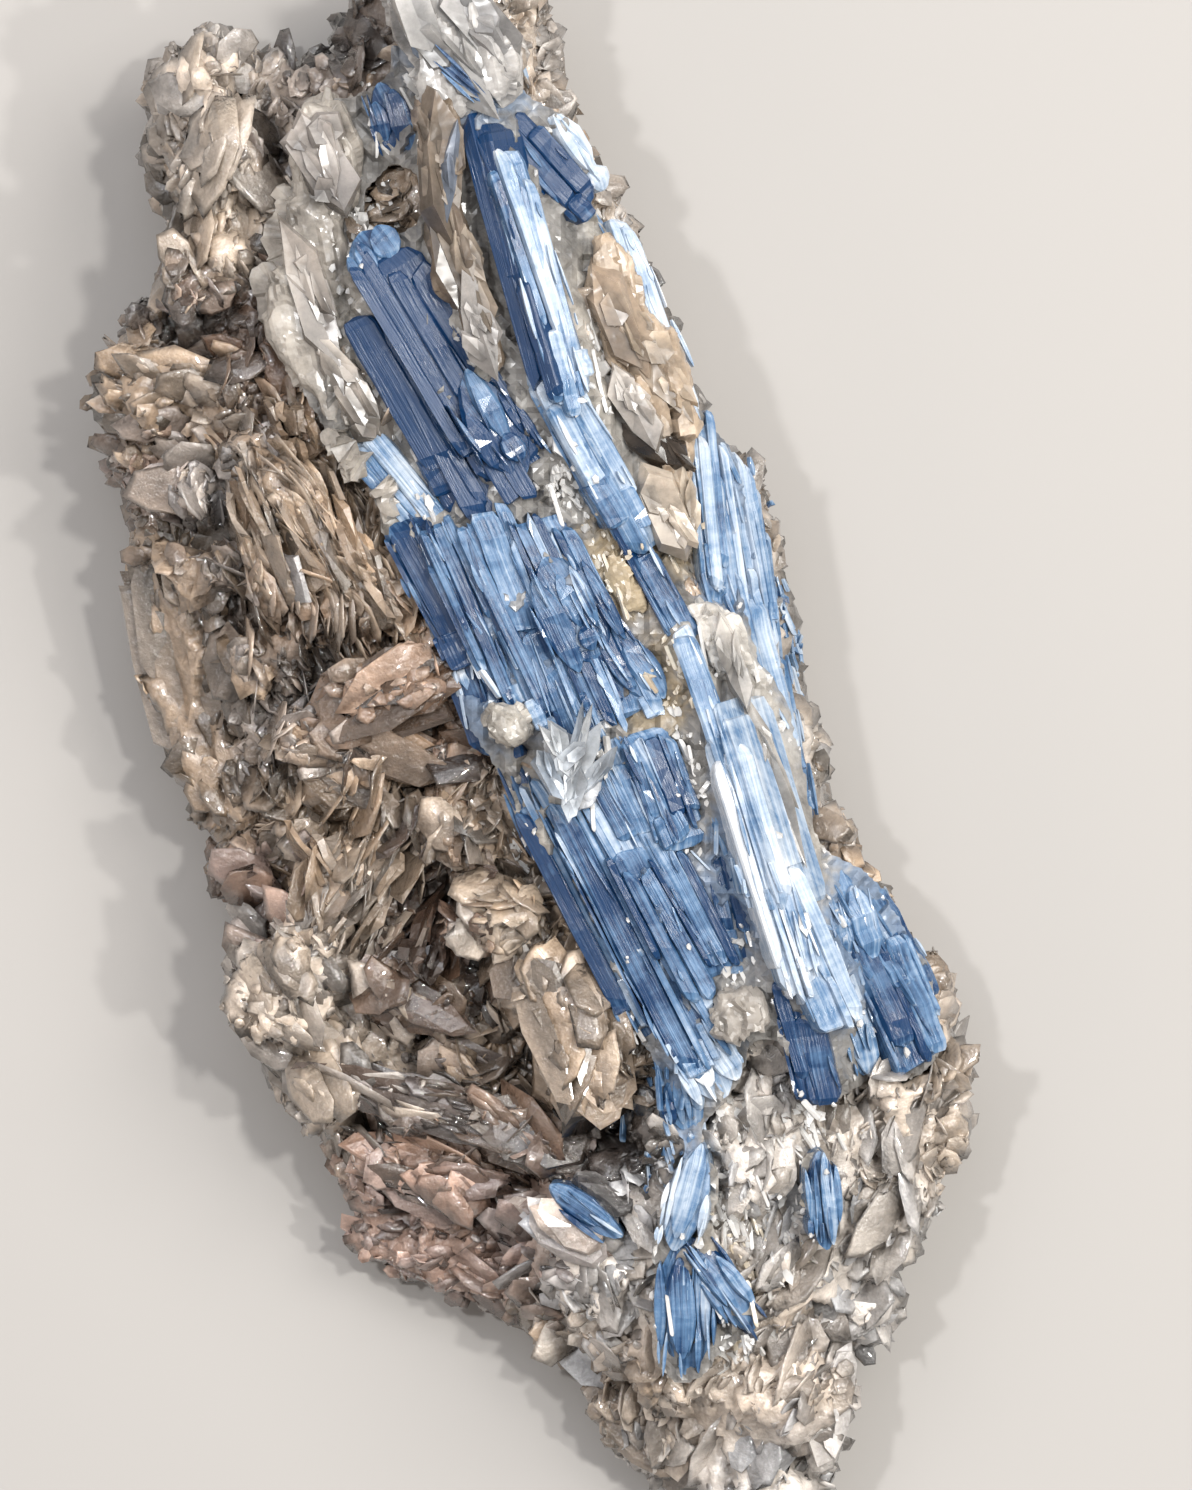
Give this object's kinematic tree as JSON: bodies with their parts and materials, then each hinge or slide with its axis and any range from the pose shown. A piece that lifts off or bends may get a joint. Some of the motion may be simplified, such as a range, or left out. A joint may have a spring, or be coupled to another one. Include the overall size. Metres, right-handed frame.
{
  "type": "kyanite blade cluster",
  "caption": "Loose mineral specimen: a sheaf of blue kyanite blades and milky quartz running down a long slab of tan and silver mica schist, lying on its flat back.",
  "frame": {"origin": "middle of the bounding box's underside, on the flat back that the specimen lies on", "axes": "+Z out of the crystal face, away from the flat back; +Y along the length, towards the end with the quartz slab; +X to the right seen from above"},
  "size_m": [0.0744, 0.1658, 0.0367],
  "materials": {
    "mica_schist": "satin, rough with glinting flakes",
    "kyanite": "glossy, finely striated along the blades",
    "quartz": "glassy, milky",
    "honey_quartz": "glassy, stained tan"
  },
  "bodies": {
    "root": {"mica_schist": "mica_schist", "kyanite_main": "kyanite", "kyanite_right_edge": "kyanite", "kyanite_right_foot": "kyanite", "kyanite_tail": "kyanite", "kyanite_lone_blade": "kyanite", "kyanite_corner_blade": "kyanite", "kyanite_crown_blade": "kyanite", "kyanite_left_crown": "kyanite", "quartz_top_slab": "quartz", "quartz_left_vein": "quartz", "quartz_splinter": "honey_quartz", "quartz_right_pocket": "honey_quartz", "quartz_middle_pocket": "honey_quartz", "quartz_centre_patch": "quartz", "quartz_ridge_foot": "quartz", "quartz_centre_splash": "quartz", "quartz_knob": "quartz", "quartz_lower_knot": "honey_quartz"}
  },
  "joints": []
}
